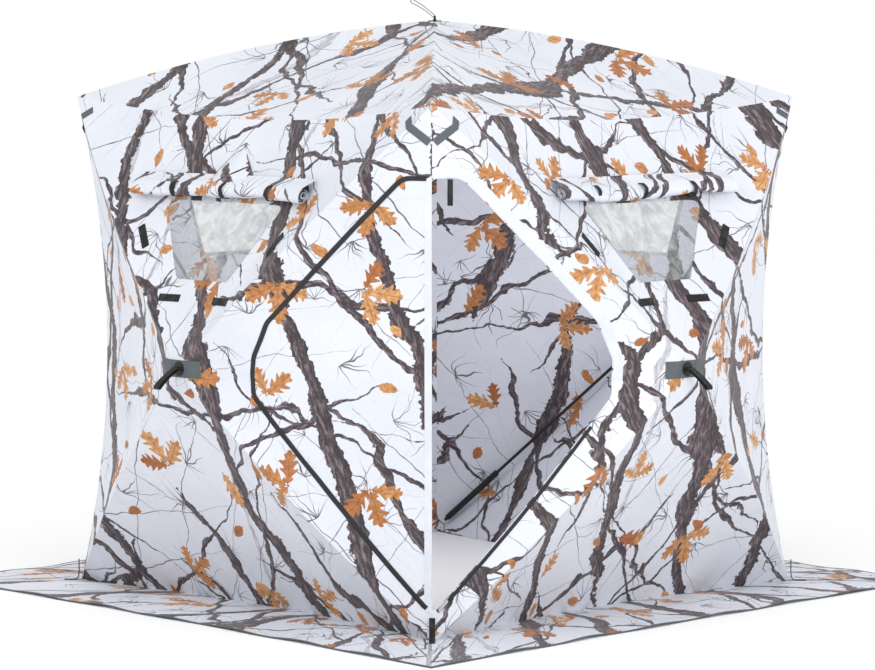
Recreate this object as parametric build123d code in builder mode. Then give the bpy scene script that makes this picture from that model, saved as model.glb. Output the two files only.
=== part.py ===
# Pop up hub ground blind: a cube of printed fabric sprung tight by five folding hubs.
# Every wall and the roof is a low pyramid with a hub at its peak and four rods to its corners.
import os
from math import asin, atan2, cos, degrees, hypot, radians, sin

from build123d import *

os.makedirs("parts", exist_ok=True)

# overall size
half_width = 900.0  # floor corner to centre, along X and Y
corner_height = 1740.0
hub_height = 850.0  # wall hubs above the ground
wall_rise = 300.0  # how far a wall's peak stands out from its corners
roof_rise = 265.0
edge_inset = 4.0  # each panel stops this far short of the shared edge
side_bow = 71.0  # a tight vertical edge pulls in this far at half height
top_bow = 65.0
bottom_bow = 90.0
fabric = 3.0  # quilted three-layer cloth
peak_flat = 45.0  # half width of the flat where the hub is clamped

# skirt
skirt_half = 1240.0

# hubs and rods
hub_radius = 38.0
hub_thick = 24.0
slot_width = 12.0
pivot_radius = 26.0
pin_radius = 2.5
rod_radius = 6.0
boot_radius = 12.0
boot_length = 285.0
tip_short = 75.0  # rod tip to the corner point, along the rod
tip_inside = 8.0  # rod tip below the corner plane
web_width = 25.0
web_thick = 2.5
loop_length = 106.0
loop_eye = 3.5  # the strap's fold round the hub's bar

# windows
window_top = [(-302, 550), (302, 550), (130, 290), (-130, 290)]
roll_radius = 25.0
roll_half = 430.0
roll_height = 588.0

# door: one half on each side of the front corner, outline measured from the panel's centre
door_outline = [(930, 655), (808, 655), (340, 170), (285, 50), (285, -75), (890, -750), (930, -750)]
fold_inset = 14.0  # fold line in from the front corner
leaf_rest = 4.0  # degrees that the open half swings in from the closed half's wall


def panel(origin, normal, across, rise, low, high, bows):
    """One face of the cube: its frame, its outline corners and how its edges bow."""
    return {
        "origin": Vector(*origin),
        "normal": Vector(*normal),
        "across": Vector(*across),
        "up": Vector(*normal).cross(Vector(*across)),
        "rise": rise,
        "low": low,
        "high": high,
        "bows": bows,
    }


wall_low, wall_high = -hub_height, corner_height - hub_height
panels = {
    "front_left": panel((0, -half_width, hub_height), (0, -1, 0), (1, 0, 0), wall_rise,
                        wall_low, wall_high, (side_bow, 0, bottom_bow, top_bow)),
    "front_right": panel((half_width, 0, hub_height), (1, 0, 0), (0, 1, 0), wall_rise,
                         wall_low, wall_high, (0, side_bow, bottom_bow, top_bow)),
    "back_right": panel((0, half_width, hub_height), (0, 1, 0), (-1, 0, 0), wall_rise,
                        wall_low, wall_high, (side_bow, side_bow, bottom_bow, top_bow)),
    "back_left": panel((-half_width, 0, hub_height), (-1, 0, 0), (0, -1, 0), wall_rise,
                       wall_low, wall_high, (side_bow, side_bow, bottom_bow, top_bow)),
    "roof": panel((0, 0, corner_height), (0, 0, 1), (1, 0, 0), roof_rise,
                  -half_width, half_width, (top_bow, top_bow, top_bow, top_bow)),
}


def plane_at(face, height=0.0):
    """Sketch plane parallel to a face's corner plane, its origin on the hub's axis."""
    return Plane(origin=face["origin"] + face["normal"] * height, x_dir=face["across"],
                 z_dir=face["normal"])


def place(face, u, v, h):
    return face["origin"] + face["across"] * u + face["up"] * v + face["normal"] * h


def facets(face):
    """The triangles of a panel as (u, v, height) corners."""
    side, low, high = half_width - edge_inset, face["low"] + edge_inset, face["high"] - edge_inset
    left, right, bottom, top = face["bows"]
    middle = (low + high) / 2
    # the top and roof edges sag as well as pull in, the bottom edge stays on the ground
    drop = 0 if face["normal"].Z == 0 else bottom
    ring = [(-side, low, 0), (0, low + drop, -bottom), (side, low, 0),
            (side - right, middle, -right), (side, high, 0), (0, high - top, -top),
            (-side, high, 0), (-side + left, middle, -left)]
    f, r = peak_flat, face["rise"]
    flat = [(-f, -f, r), (f, -f, r), (f, f, r), (-f, f, r)]
    triangles = [(flat[0], flat[1], flat[2]), (flat[0], flat[2], flat[3])]
    for i in range(4):
        start, mid, end = ring[2 * i], ring[2 * i + 1], ring[(2 * i + 2) % 8]
        here, there = flat[i], flat[(i + 1) % 4]
        triangles += [(start, mid, here), (mid, end, there), (mid, there, here)]
    return triangles


def height_at(face, u, v):
    """Height of a panel's outer surface over its corner plane."""
    for a, b, c in facets(face):
        area = (b[0] - a[0]) * (c[1] - a[1]) - (c[0] - a[0]) * (b[1] - a[1])
        s = ((u - a[0]) * (c[1] - a[1]) - (c[0] - a[0]) * (v - a[1])) / area
        t = ((b[0] - a[0]) * (v - a[1]) - (u - a[0]) * (b[1] - a[1])) / area
        if s >= -1e-6 and t >= -1e-6 and s + t <= 1 + 1e-6:
            return a[2] + s * (b[2] - a[2]) + t * (c[2] - a[2])
    return 0.0


def add_layer(face, depth, thick, triangles=None):
    """Adds cloth that follows a panel: depth below its outer surface, negative outside it."""
    for corners in triangles or facets(face):
        a, b, c = [place(face, u, v, h - depth - thick) for u, v, h in corners]
        flat = Plane(origin=a, x_dir=b - a, z_dir=(b - a).cross(c - a))
        tip = flat.to_local_coords(c)
        with BuildSketch(flat) as triangle:
            with BuildLine():
                Polyline((0, 0), ((b - a).length, 0), (tip.X, tip.Y), close=True)
            make_face()
        extrude(triangle.sketch, amount=thick, dir=face["normal"])


def keep_inside(face, outline, round_by=0.0, grow=0.0, mode=Mode.INTERSECT):
    """Trims or cuts the part with an outline driven along the face's normal."""
    with BuildSketch(plane_at(face, -150)) as shape:
        with BuildLine():
            Polyline(*outline, close=True)
        make_face()
        if round_by:
            fillet(vertices(), radius=round_by)
        if grow:
            offset(amount=grow)
    extrude(shape.sketch, amount=600, dir=face["normal"], mode=mode)


def mirrored(outline, side):
    return [(side * u, v) for u, v in outline]


def door_cut(face, side, grow=0.0, mode=Mode.SUBTRACT):
    with BuildSketch(plane_at(face, -150)) as shape:
        with BuildLine():
            Polyline(*mirrored(door_outline, side), close=True)
        make_face()
        fillet([p for p in vertices() if abs(p.X) < 929], radius=60)
        if grow:
            offset(amount=grow)
    extrude(shape.sketch, amount=600, dir=face["normal"], mode=mode)


def finish(name, part):
    part.label = name
    export_step(part, f"parts/{name}.step")


door_side = {"front_left": 1, "front_right": -1}

# fabric panels
for name, face in panels.items():
    with BuildPart() as cloth:
        add_layer(face, 0, fabric)
        with BuildSketch(plane_at(face, 200)):
            Circle(7)
        extrude(amount=200, mode=Mode.SUBTRACT)
        if name != "roof":
            keep_inside(face, window_top, round_by=25, mode=Mode.SUBTRACT)
        if name == "front_left":
            keep_inside(face, [(-70, 640), (30, 640), (-20, 715)], round_by=8, mode=Mode.SUBTRACT)
        if name in door_side:
            door_cut(face, door_side[name])
    finish("roof_cloth" if name == "roof" else f"{name}_wall", cloth.part)

# skirt: four strips laid on the ground
with BuildPart() as skirt:
    inner, gap = half_width - 5, 0.7
    for turn in range(4):
        with BuildSketch(Plane(origin=(0, 0, 0), x_dir=Vector(1, 0, 0).rotate(Axis.Z, 90 * turn),
                               z_dir=(0, 0, 1))):
            with BuildLine():
                Polyline((-skirt_half + gap, -skirt_half), (skirt_half - gap, -skirt_half),
                         (inner - gap, -inner), (0, -inner + bottom_bow), (-inner + gap, -inner),
                         close=True)
            make_face()
        extrude(amount=fabric)
finish("skirt", skirt.part)

# windows: film behind each hole, a rolled cover above it, its ties and its fastening tabs
with BuildPart() as films:
    for name in list(panels)[:4]:
        with BuildPart() as film:
            add_layer(panels[name], fabric + 0.5, 0.8)
            keep_inside(panels[name], window_top, round_by=25, grow=14)
        add(film.part)
finish("window_films", films.part)


def roll_path(face):
    ends = height_at(face, roll_half, roll_height) + 40
    middle = height_at(face, 0, roll_height - 6) + 52
    return [place(face, -roll_half, roll_height, ends),
            place(face, 0, roll_height - 6, middle),
            place(face, roll_half, roll_height, ends)]


with BuildPart() as covers:
    for name in list(panels)[:4]:
        with BuildLine() as path:
            ThreePointArc(*roll_path(panels[name]))
        with BuildSketch(Plane(origin=path.line @ 0, z_dir=path.line % 0)):
            Circle(roll_radius)
        sweep(path=path.line)
finish("window_covers", covers.part)

with BuildPart() as ties:
    for name in list(panels)[:4]:
        with BuildLine() as path:
            ThreePointArc(*roll_path(panels[name]))
        for share in (0.22, 0.5, 0.78):
            with BuildSketch(Plane(origin=path.line @ share - (path.line % share) * 8,
                                   z_dir=path.line % share)):
                Circle(roll_radius + 2.5)
                Circle(roll_radius + 0.6, mode=Mode.SUBTRACT)
            extrude(amount=16)
finish("cover_ties", ties.part)

tab_places = [(-335, 425, 52), (335, 425, -52), (-130, 228, 0), (130, 228, 0)]
with BuildPart() as tabs:
    for name in list(panels)[:4]:
        face = panels[name]
        with BuildPart() as four:
            add_layer(face, -2.2, 1.6)
            with BuildSketch(plane_at(face, -150)):
                for u, v, turn in tab_places:
                    with Locations(Location((u, v), -turn)):
                        Rectangle(90, 24)
            extrude(amount=600, mode=Mode.INTERSECT)
        add(four.part)
finish("fastening_tabs", tabs.part)

# hooded vent over the front left window
vent_face = panels["front_left"]


def on_vent(u, v, out):
    return (u, v, height_at(vent_face, u, v) + out)


with BuildPart() as hood:
    top, left, right = on_vent(-20, 732, 3), on_vent(-125, 628, 3), on_vent(85, 628, 3)
    peak = on_vent(-20, 640, 62)
    add_layer(vent_face, 0, 2, [(left, peak, top), (peak, right, top)])
finish("vent_hood", hood.part)

with BuildPart() as mesh:
    add_layer(vent_face, fabric + 0.5, 0.8)
    keep_inside(vent_face, [(-92, 622), (52, 622), (-20, 732)])
finish("vent_mesh", mesh.part)

# door: the closed half, the zips, the facing and the gusset behind the open corner
left_face, right_face = panels["front_left"], panels["front_right"]
with BuildPart() as closed_half:
    add_layer(left_face, 0, fabric)
    door_cut(left_face, 1, grow=-1.5, mode=Mode.INTERSECT)
    keep_inside(left_face, [(200, -800), (887, -800), (887, 800), (200, 800)])
finish("door_panel", closed_half.part)


def door_band(face, side, outer, inner, depth, thick, low, high, edge=886):
    """A tape that follows the door's outline between two offsets of it."""
    with BuildPart() as band:
        add_layer(face, depth, thick)
        door_cut(face, side, grow=outer, mode=Mode.INTERSECT)
        door_cut(face, side, grow=inner, mode=Mode.SUBTRACT)
        ends = sorted((side * 200, side * edge))
        keep_inside(face, [(ends[0], low), (ends[1], low), (ends[1], high), (ends[0], high)])
    return band.part


finish("closed_zip", door_band(left_face, 1, 8, -8, -2.1, 1.6, -800, 800))
finish("door_facing", door_band(right_face, -1, 40, 3, -1.6, 1.0, -30, 800))
with BuildPart() as open_zip:
    add(door_band(right_face, -1, 14, 2, -2.1, 1.6, -800, -170))
    add(door_band(right_face, -1, 14, 2, fabric + 0.5, 1.2, -150, 800, edge=860))
finish("open_zip", open_zip.part)

with BuildPart() as gusset:
    add_layer(right_face, fabric + 5, 1.5)
    keep_inside(right_face, [(-255, -110), (-365, -160), (-330, -255), (-235, -190)])
finish("door_gusset", gusset.part)

# door half that is unzipped and swung in, hinged on the straight fold at the front corner
slope = atan2(wall_rise, half_width - edge_inset - peak_flat)
turn = radians(180 - leaf_rest)
leaf_plane = Plane(origin=(half_width - fold_inset, -half_width + fold_inset, hub_height),
                   x_dir=(cos(turn), sin(turn), 0), z_dir=(sin(turn), -cos(turn), 0))
leaf_outline = [((half_width - edge_inset - u) / cos(slope), v) for u, v in door_outline[1:6]]
leaf_outline = [(3, leaf_outline[0][1]), *leaf_outline[:-1], (3, leaf_outline[-1][1])]


def leaf_piece(lift, thick, outer, inner=None):
    with BuildPart() as piece:
        for grow, mode in ((outer, Mode.ADD), (inner, Mode.SUBTRACT)):
            if grow is None:
                continue
            with BuildSketch(leaf_plane.offset(lift)):
                with BuildLine():
                    Polyline(*leaf_outline, close=True)
                make_face()
                fillet([p for p in vertices() if leaf_plane.to_local_coords(p.center()).X > 20],
                       radius=60)
                offset(amount=grow)
            extrude(amount=thick, mode=mode)
        with BuildSketch(leaf_plane.offset(lift - 5)):
            with Locations((500, 0)):
                Rectangle(992, 1700)
        extrude(amount=20, mode=Mode.INTERSECT)
    return piece.part


finish("door_leaf", leaf_piece(-1.5, 3.0, 10))
finish("leaf_zip", leaf_piece(1.9, 1.4, 8, -6))

# zip slider at the low end of the open track
run = (place(right_face, -330, -168, height_at(right_face, -330, -168))
       - place(right_face, -862, -745, height_at(right_face, -862, -745))).normalized()
panel_out = (right_face["normal"] * cos(slope) + right_face["across"] * -sin(slope)).normalized()
track_point = (-850, -716)
slider_plane = Plane(origin=place(right_face, *track_point, height_at(right_face, *track_point))
                     + panel_out * 2.8, x_dir=run, z_dir=panel_out)
with BuildPart() as slider:
    with BuildSketch(slider_plane):
        RectangleRounded(24, 13, 4)
    extrude(amount=5)
    with BuildSketch(slider_plane.offset(5.4)):
        with Locations((-24, 0)):
            RectangleRounded(46, 10, 4)
    extrude(amount=2)
    with BuildSketch(slider_plane.offset(4.5)):
        Circle(2.5)
    extrude(amount=1.5)
finish("zip_slider", slider.part)

# webbing tie that hangs at the top of the door
tie_plane = Plane(origin=(934, -852, 1460), x_dir=(1, 1, 0), z_dir=(1, -1, 0))
with BuildPart() as door_tie:
    with BuildSketch(tie_plane):
        RectangleRounded(18, 88, 4)
    extrude(amount=web_thick)
finish("door_tie", door_tie.part)

# hub patches, corner webbing and stake loops
with BuildPart() as patches:
    for name, face in panels.items():
        with BuildPart() as patch:
            add_layer(face, -1.8, 1.2)
            with BuildSketch(plane_at(face, -150)):
                Rectangle(184, 58)
                Circle(7, mode=Mode.SUBTRACT)
            extrude(amount=600, mode=Mode.INTERSECT)
        add(patch.part)
finish("hub_patches", patches.part)

with BuildPart() as webbing:
    for name in list(panels)[:4]:
        face = panels[name]
        with BuildPart() as strips:
            add_layer(face, -2.1, 1.5)
            with BuildSketch(plane_at(face, -150)):
                for side in (-1, 1):
                    with Locations(Location((side * 850, 838), -side * 40)):
                        Rectangle(190, web_width)
            extrude(amount=600, mode=Mode.INTERSECT)
        add(strips.part)
finish("corner_webbing", webbing.part)

with BuildPart() as loops:
    for k in range(4):
        out = Vector(1, -1, 0).rotate(Axis.Z, 90 * k).normalized()
        along = Vector(0, 0, 1).cross(out)
        foot = out * (half_width * 2**0.5 + 6) + Vector(0, 0, 4)
        with BuildSketch(Plane(origin=foot, x_dir=out, z_dir=-along)):
            with BuildLine():
                Polyline((0, 76), (0, 0), (55, 0), (55, 2.5), (2.5, 2.5), (2.5, 76), close=True)
            make_face()
        extrude(amount=10, both=True)
finish("stake_loops", loops.part)

# hubs, their fasteners, pull loops and rods
for name, face in panels.items():
    rise = face["rise"]
    hub_top = rise - fabric - 0.8
    pivot_height = hub_top - hub_thick / 2
    corners = {
        "upper_left": (-half_width, face["high"]),
        "upper_right": (half_width, face["high"]),
        "lower_left": (-half_width, face["low"]),
        "lower_right": (half_width, face["low"]),
    }
    angles = {key: atan2(v, u) for key, (u, v) in corners.items()}

    with BuildPart() as hub:
        with BuildSketch(plane_at(face, hub_top - hub_thick)):
            Circle(hub_radius)
            Circle(4.3, mode=Mode.SUBTRACT)
            for angle in angles.values():
                with Locations(Location((28 * cos(angle), 28 * sin(angle)), degrees(angle))):
                    Rectangle(30, slot_width, mode=Mode.SUBTRACT)
        extrude(amount=hub_thick)
        for angle in angles.values():
            radial = face["across"] * cos(angle) + face["up"] * sin(angle)
            cross = face["normal"].cross(radial)
            middle = face["origin"] + face["normal"] * pivot_height + radial * pivot_radius
            with BuildSketch(Plane(origin=middle - cross * 14.2, z_dir=cross)):
                Circle(pin_radius + 0.05)
            extrude(amount=28.4, mode=Mode.SUBTRACT)
    finish(f"{name}_hub", hub.part)

    loop_up = Vector(1, 1, 0).normalized() if name == "roof" else face["up"]
    loop_side = face["normal"].cross(loop_up)
    bar_height = rise + 17
    with BuildPart() as fasteners:
        with BuildSketch(plane_at(face, rise + 2.4)):
            Circle(24)
            Circle(4.3, mode=Mode.SUBTRACT)
        extrude(amount=3)
        for side in (-1, 1):
            spot = face["origin"] + face["normal"] * (rise + 5.4) + loop_side * (side * 17)
            with BuildSketch(Plane(origin=spot, x_dir=loop_side, z_dir=face["normal"])):
                Rectangle(4, 8)
            extrude(amount=bar_height - rise - 1)
        with BuildSketch(Plane(origin=face["origin"] + face["normal"] * bar_height
                               - loop_side * 16, z_dir=loop_side)):
            Circle(2.5)
        extrude(amount=32)
        # centre bolt and its nut
        with BuildSketch(plane_at(face, hub_top - hub_thick - 9)):
            Circle(4)
        extrude(amount=rise + 5.8 - (hub_top - hub_thick - 9))
        with BuildSketch(plane_at(face, rise + 5.8)):
            RegularPolygon(radius=7, side_count=6)
        extrude(amount=4)
        with BuildSketch(plane_at(face, hub_top - hub_thick - 7)):
            RegularPolygon(radius=7.5, side_count=6)
            Circle(4.2, mode=Mode.SUBTRACT)
        extrude(amount=6.5)
        for angle in angles.values():
            radial = face["across"] * cos(angle) + face["up"] * sin(angle)
            cross = face["normal"].cross(radial)
            middle = face["origin"] + face["normal"] * pivot_height + radial * pivot_radius
            with BuildSketch(Plane(origin=middle - cross * 13.5, z_dir=cross)):
                Circle(pin_radius)
            extrude(amount=27)
    finish(f"{name}_hub_fasteners", fasteners.part)

    # doubled strap, sewn flat and folded round the bar
    lean = radians(-55 if name == "roof" else -35)
    with BuildPart() as loop:
        with BuildSketch(Plane(origin=face["origin"] + face["normal"] * bar_height,
                               x_dir=face["normal"], z_dir=loop_side)):
            Circle(loop_eye + web_thick)
            with Locations(Location((loop_length / 2 * cos(lean), loop_length / 2 * sin(lean)),
                                    degrees(lean))):
                Rectangle(loop_length, 2 * web_thick)
            Circle(loop_eye, mode=Mode.SUBTRACT)
        extrude(amount=web_width / 2, both=True)
    finish(f"{name}_pull_loop", loop.part)

    for key, (u, v) in corners.items():
        radial = face["across"] * cos(angles[key]) + face["up"] * sin(angles[key])
        cross = face["normal"].cross(radial)
        reach = hypot(u, v) - tip_short - pivot_radius
        drop = pivot_height + tip_inside
        length = hypot(reach, drop)
        pivot = face["origin"] + face["normal"] * pivot_height + radial * pivot_radius
        along = (radial * reach - face["normal"] * drop).normalized()

        def across_rod(distance):
            return Plane(origin=pivot + along * distance, x_dir=cross, z_dir=along)

        with BuildPart() as rod:
            # flat tongue with the pin's eye, and the socket that holds the rod
            with BuildSketch(Plane(origin=pivot - cross * 5, x_dir=along, z_dir=cross)):
                Circle(7.5)
                with Locations((12, 0)):
                    Rectangle(24, 15)
                Circle(pin_radius + 0.07, mode=Mode.SUBTRACT)
            extrude(amount=10)
            with BuildSketch(across_rod(22)):
                Circle(8.5)
            extrude(amount=60)
            with BuildSketch(across_rod(34)):
                Circle(rod_radius + 0.3)
            extrude(amount=60, mode=Mode.SUBTRACT)
            with BuildSketch(across_rod(35)):
                Circle(rod_radius)
            extrude(amount=length - 35 - 14)
            with BuildSketch(across_rod(length - 15 - boot_length)):
                Circle(boot_radius)
                Circle(rod_radius + 0.4, mode=Mode.SUBTRACT)
            extrude(amount=boot_length)
            with BuildSketch(across_rod(length - 13.6)):
                Circle(7)
            extrude(amount=13.6)
        finish(f"{name}_rod_{key}", rod.part)
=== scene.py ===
import math
import bpy
import numpy as np
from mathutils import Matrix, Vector


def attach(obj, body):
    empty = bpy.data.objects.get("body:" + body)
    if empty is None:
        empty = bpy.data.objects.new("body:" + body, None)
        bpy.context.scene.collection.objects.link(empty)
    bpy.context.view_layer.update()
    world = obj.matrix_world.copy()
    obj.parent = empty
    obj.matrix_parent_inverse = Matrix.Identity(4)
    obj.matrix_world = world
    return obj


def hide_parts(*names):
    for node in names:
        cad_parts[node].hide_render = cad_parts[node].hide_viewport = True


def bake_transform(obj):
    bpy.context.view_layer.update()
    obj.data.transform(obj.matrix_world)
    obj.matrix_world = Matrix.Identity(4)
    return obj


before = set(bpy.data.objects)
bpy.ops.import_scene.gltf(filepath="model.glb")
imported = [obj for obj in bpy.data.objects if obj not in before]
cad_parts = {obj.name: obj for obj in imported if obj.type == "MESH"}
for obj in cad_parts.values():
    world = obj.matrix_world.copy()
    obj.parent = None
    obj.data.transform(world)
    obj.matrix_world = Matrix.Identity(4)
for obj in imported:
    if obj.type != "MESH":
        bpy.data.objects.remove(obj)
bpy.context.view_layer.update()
print("frame loaded")

# ---- materials ----


def toLinear(code):
    parts = [int(code[i:i + 2], 16) / 255 for i in (1, 3, 5)]
    return [c / 12.92 if c <= 0.04045 else ((c + 0.055) / 1.055) ** 2.4 for c in parts] + [1]


# inputs go by place or by name, and a node given as a value is linked by its first output
def addNode(tree, kind, inputs=(), **settings):
    node = tree.nodes.new("ShaderNode" + kind)
    for name, value in settings.items():
        setattr(node, name, value)
    pairs = inputs.items() if isinstance(inputs, dict) else enumerate(inputs)
    for key, value in pairs:
        if isinstance(value, bpy.types.Node):
            tree.links.new(value.outputs[0], node.inputs[key])
        elif isinstance(value, bpy.types.NodeSocket):
            tree.links.new(value, node.inputs[key])
        elif value is not None:
            node.inputs[key].default_value = value
    return node


def startGroup(name, floats, results):
    tree = bpy.data.node_groups.new(name, "ShaderNodeTree")
    tree.interface.new_socket("Vector", in_out="INPUT", socket_type="NodeSocketVector")
    for label in floats:
        tree.interface.new_socket(label, in_out="INPUT", socket_type="NodeSocketFloat")
    for label in results:
        tree.interface.new_socket(label, in_out="OUTPUT", socket_type="NodeSocketFloat")
    return tree, tree.nodes.new("NodeGroupInput").outputs, tree.nodes.new("NodeGroupOutput").inputs


# printed limbs: lines in slots side by side that wander, swell, thin out and stop
def makeLimbGroup():
    tree, given, result = startGroup(
        "printedLimbs", ["Angle", "Spacing", "Width", "Wander", "Seed", "Cover"], ["Mask", "Bark", "Side"])
    shift = addNode(tree, "CombineXYZ", [given["Seed"], given["Seed"]])
    moved = addNode(tree, "VectorMath", [given["Vector"], shift], operation="ADD")
    turned = addNode(tree, "VectorRotate", {"Vector": moved, "Angle": given["Angle"]},
                     rotation_type="Z_AXIS")
    place = addNode(tree, "SeparateXYZ", [turned])
    bend = addNode(tree, "TexNoise", {"Vector": turned, "Scale": 1.6, "Detail": 1.0})
    kink = addNode(tree, "TexNoise", {"Vector": turned, "Scale": 8.0, "Detail": 2.0})
    both = addNode(tree, "Math", [kink, 0.24, bend], operation="MULTIPLY_ADD")
    centred = addNode(tree, "Math", [both, 0.62], operation="SUBTRACT")
    across = addNode(tree, "Math", [centred, given["Wander"], place.outputs[0]], operation="MULTIPLY_ADD")
    slot = addNode(tree, "Math", [across, given["Spacing"]], operation="DIVIDE")
    cell = addNode(tree, "Math", [slot], operation="FLOOR")
    seeded = addNode(tree, "Math", [cell, given["Seed"]], operation="ADD")
    luck = addNode(tree, "TexWhiteNoise", {"W": seeded}, noise_dimensions="1D")
    chance = addNode(tree, "SeparateColor", [luck.outputs["Color"]])
    share = addNode(tree, "Math", [slot], operation="FRACT")
    jog = addNode(tree, "MapRange", [chance.outputs[1], 0.0, 1.0, 0.3, 0.7])
    fromLine = addNode(tree, "Math", [share, jog], operation="SUBTRACT")
    offset = addNode(tree, "Math", [fromLine, given["Spacing"]], operation="MULTIPLY")
    row = addNode(tree, "Math", [seeded, 7.3], operation="MULTIPLY")
    along = addNode(tree, "CombineXYZ", [row, place.outputs[1]])
    life = addNode(tree, "TexNoise", {"Vector": along, "Scale": 1.15, "Detail": 0.0})
    lifeEnd = addNode(tree, "Math", [given["Cover"], 0.18], operation="ADD")
    present = addNode(tree, "MapRange", [life, given["Cover"], lifeEnd], interpolation_type="SMOOTHSTEP")
    swell = addNode(tree, "TexNoise", {"Vector": along, "Scale": 9.0, "Detail": 1.0})
    swollen = addNode(tree, "MapRange", [swell, 0.25, 0.75, 0.7, 1.3])
    size = addNode(tree, "MapRange", [chance.outputs[2], 0.0, 1.0, 0.7, 1.25])
    taper = addNode(tree, "Math", [present, 0.6], operation="POWER")
    shaped = addNode(tree, "Math", [taper, swollen], operation="MULTIPLY")
    scaled = addNode(tree, "Math", [shaped, size], operation="MULTIPLY")
    width = addNode(tree, "Math", [scaled, given["Width"]], operation="MULTIPLY")
    rough = addNode(tree, "TexNoise", {"Vector": turned, "Scale": 60.0, "Detail": 2.0})
    bite = addNode(tree, "MapRange", [rough, 0.3, 0.7, -0.22, 0.22])
    distance = addNode(tree, "Math", [offset], operation="ABSOLUTE")
    ragged = addNode(tree, "Math", [bite, given["Width"], distance], operation="MULTIPLY_ADD")
    edge = addNode(tree, "Math", [ragged, width], operation="SUBTRACT")
    inked = addNode(tree, "MapRange", [edge, -0.0008, 0.0008, 1.0, 0.0])
    alive = addNode(tree, "Math", [present, 0.03], operation="GREATER_THAN")
    mask = addNode(tree, "Math", [inked, alive], operation="MULTIPLY")
    grain = addNode(tree, "VectorMath", [turned, (1.0, 0.2, 1.0)], operation="MULTIPLY")
    bark = addNode(tree, "TexNoise", {"Vector": grain, "Scale": 100.0, "Detail": 4.0, "Roughness": 0.7})
    wide = addNode(tree, "Math", [width, 0.001], operation="MAXIMUM")
    side = addNode(tree, "Math", [offset, wide], operation="DIVIDE")
    for label, node in (("Mask", mask), ("Bark", bark), ("Side", side)):
        tree.links.new(node.outputs[0], result[label])
    return tree


# printed lobed leaf: one in each cell, by a random turn, its stalk at the cell's point
def makeLeafGroup():
    tree, given, result = startGroup("printedLeaf", ["Density", "Length", "Turn", "Lobes", "Cover"],
                                     ["Mask", "Vein", "Tone"])
    cells = addNode(tree, "TexVoronoi", {"Vector": given["Vector"], "Scale": given["Density"],
                                         "Randomness": 0.42},
                    voronoi_dimensions="2D")
    chance = addNode(tree, "SeparateColor", [cells.outputs["Color"]])
    local = addNode(tree, "VectorMath", [given["Vector"], cells.outputs["Position"]], operation="SUBTRACT")
    warp = addNode(tree, "TexNoise", {"Vector": given["Vector"], "Scale": 24.0, "Detail": 1.0})
    push = addNode(tree, "VectorMath", [warp.outputs["Color"], (0.5, 0.5, 0.5)], operation="SUBTRACT")
    curled = addNode(tree, "VectorMath", [push, (0.02, 0.02, 0.0), local], operation="MULTIPLY_ADD")
    angle = addNode(tree, "Math", [chance.outputs[0], 6.283, given["Turn"]], operation="MULTIPLY_ADD")
    turned = addNode(tree, "VectorRotate", {"Vector": curled, "Angle": angle}, rotation_type="Z_AXIS")
    size = addNode(tree, "MapRange", [chance.outputs[1], 0.0, 1.0, 0.8, 1.2])
    length = addNode(tree, "Math", [size, given["Length"]], operation="MULTIPLY")
    place = addNode(tree, "SeparateXYZ", [turned])
    x = addNode(tree, "Math", [place.outputs[0], length], operation="DIVIDE")
    yFull = addNode(tree, "Math", [place.outputs[1], length], operation="DIVIDE")
    y = addNode(tree, "Math", [yFull, 1.15], operation="SUBTRACT")
    side = addNode(tree, "Math", [x], operation="ABSOLUTE")
    swept = addNode(tree, "Math", [side, -0.7, y], operation="MULTIPLY_ADD")
    square = addNode(tree, "Math", [y, y], operation="MULTIPLY")
    left = addNode(tree, "Math", [1.0, square], operation="SUBTRACT")
    above = addNode(tree, "Math", [left, 0.0], operation="MAXIMUM")
    oval = addNode(tree, "Math", [above, 0.62], operation="POWER")
    fuller = addNode(tree, "Math", [y, 0.14, 0.6], operation="MULTIPLY_ADD")
    body = addNode(tree, "Math", [oval, fuller], operation="MULTIPLY")
    beat = addNode(tree, "Math", [swept, 13.0], operation="MULTIPLY")
    wave = addNode(tree, "Math", [beat], operation="COSINE")
    notch = addNode(tree, "Math", [1.0, given["Lobes"]], operation="SUBTRACT")
    lobe = addNode(tree, "Math", [wave, given["Lobes"], notch], operation="MULTIPLY_ADD")
    outline = addNode(tree, "Math", [body, lobe], operation="MULTIPLY")
    edge = addNode(tree, "Math", [side, outline], operation="SUBTRACT")
    blade = addNode(tree, "MapRange", [edge, -0.014, 0.014, 1.0, 0.0])
    stalk = addNode(tree, "MapRange", [side, 0.02, 0.04, 1.0, 0.0])
    low = addNode(tree, "Math", [y, -0.7], operation="LESS_THAN")
    high = addNode(tree, "Math", [y, -1.2], operation="GREATER_THAN")
    lowStalk = addNode(tree, "Math", [stalk, low], operation="MULTIPLY")
    cutStalk = addNode(tree, "Math", [lowStalk, high], operation="MULTIPLY")
    whole = addNode(tree, "Math", [blade, cutStalk], operation="MAXIMUM")
    kept = addNode(tree, "Math", [chance.outputs[2], given["Cover"]], operation="GREATER_THAN")
    mask = addNode(tree, "Math", [whole, kept], operation="MULTIPLY")
    ribBeat = addNode(tree, "Math", [swept, 2.07], operation="MULTIPLY")
    rib = addNode(tree, "Math", [ribBeat, 1.0], operation="PINGPONG")
    ribLine = addNode(tree, "MapRange", [rib, 0.03, 0.12, 0.7, 0.0])
    midLine = addNode(tree, "MapRange", [side, 0.01, 0.05, 1.0, 0.0])
    vein = addNode(tree, "Math", [ribLine, midLine], operation="MAXIMUM")
    toned = addNode(tree, "Math", [chance.outputs[1], 5.0, given["Turn"]], operation="MULTIPLY_ADD")
    tone = addNode(tree, "Math", [toned], operation="FRACT")
    for label, node in (("Mask", mask), ("Vein", vein), ("Tone", tone)):
        tree.links.new(node.outputs[0], result[label])
    return tree


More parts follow.
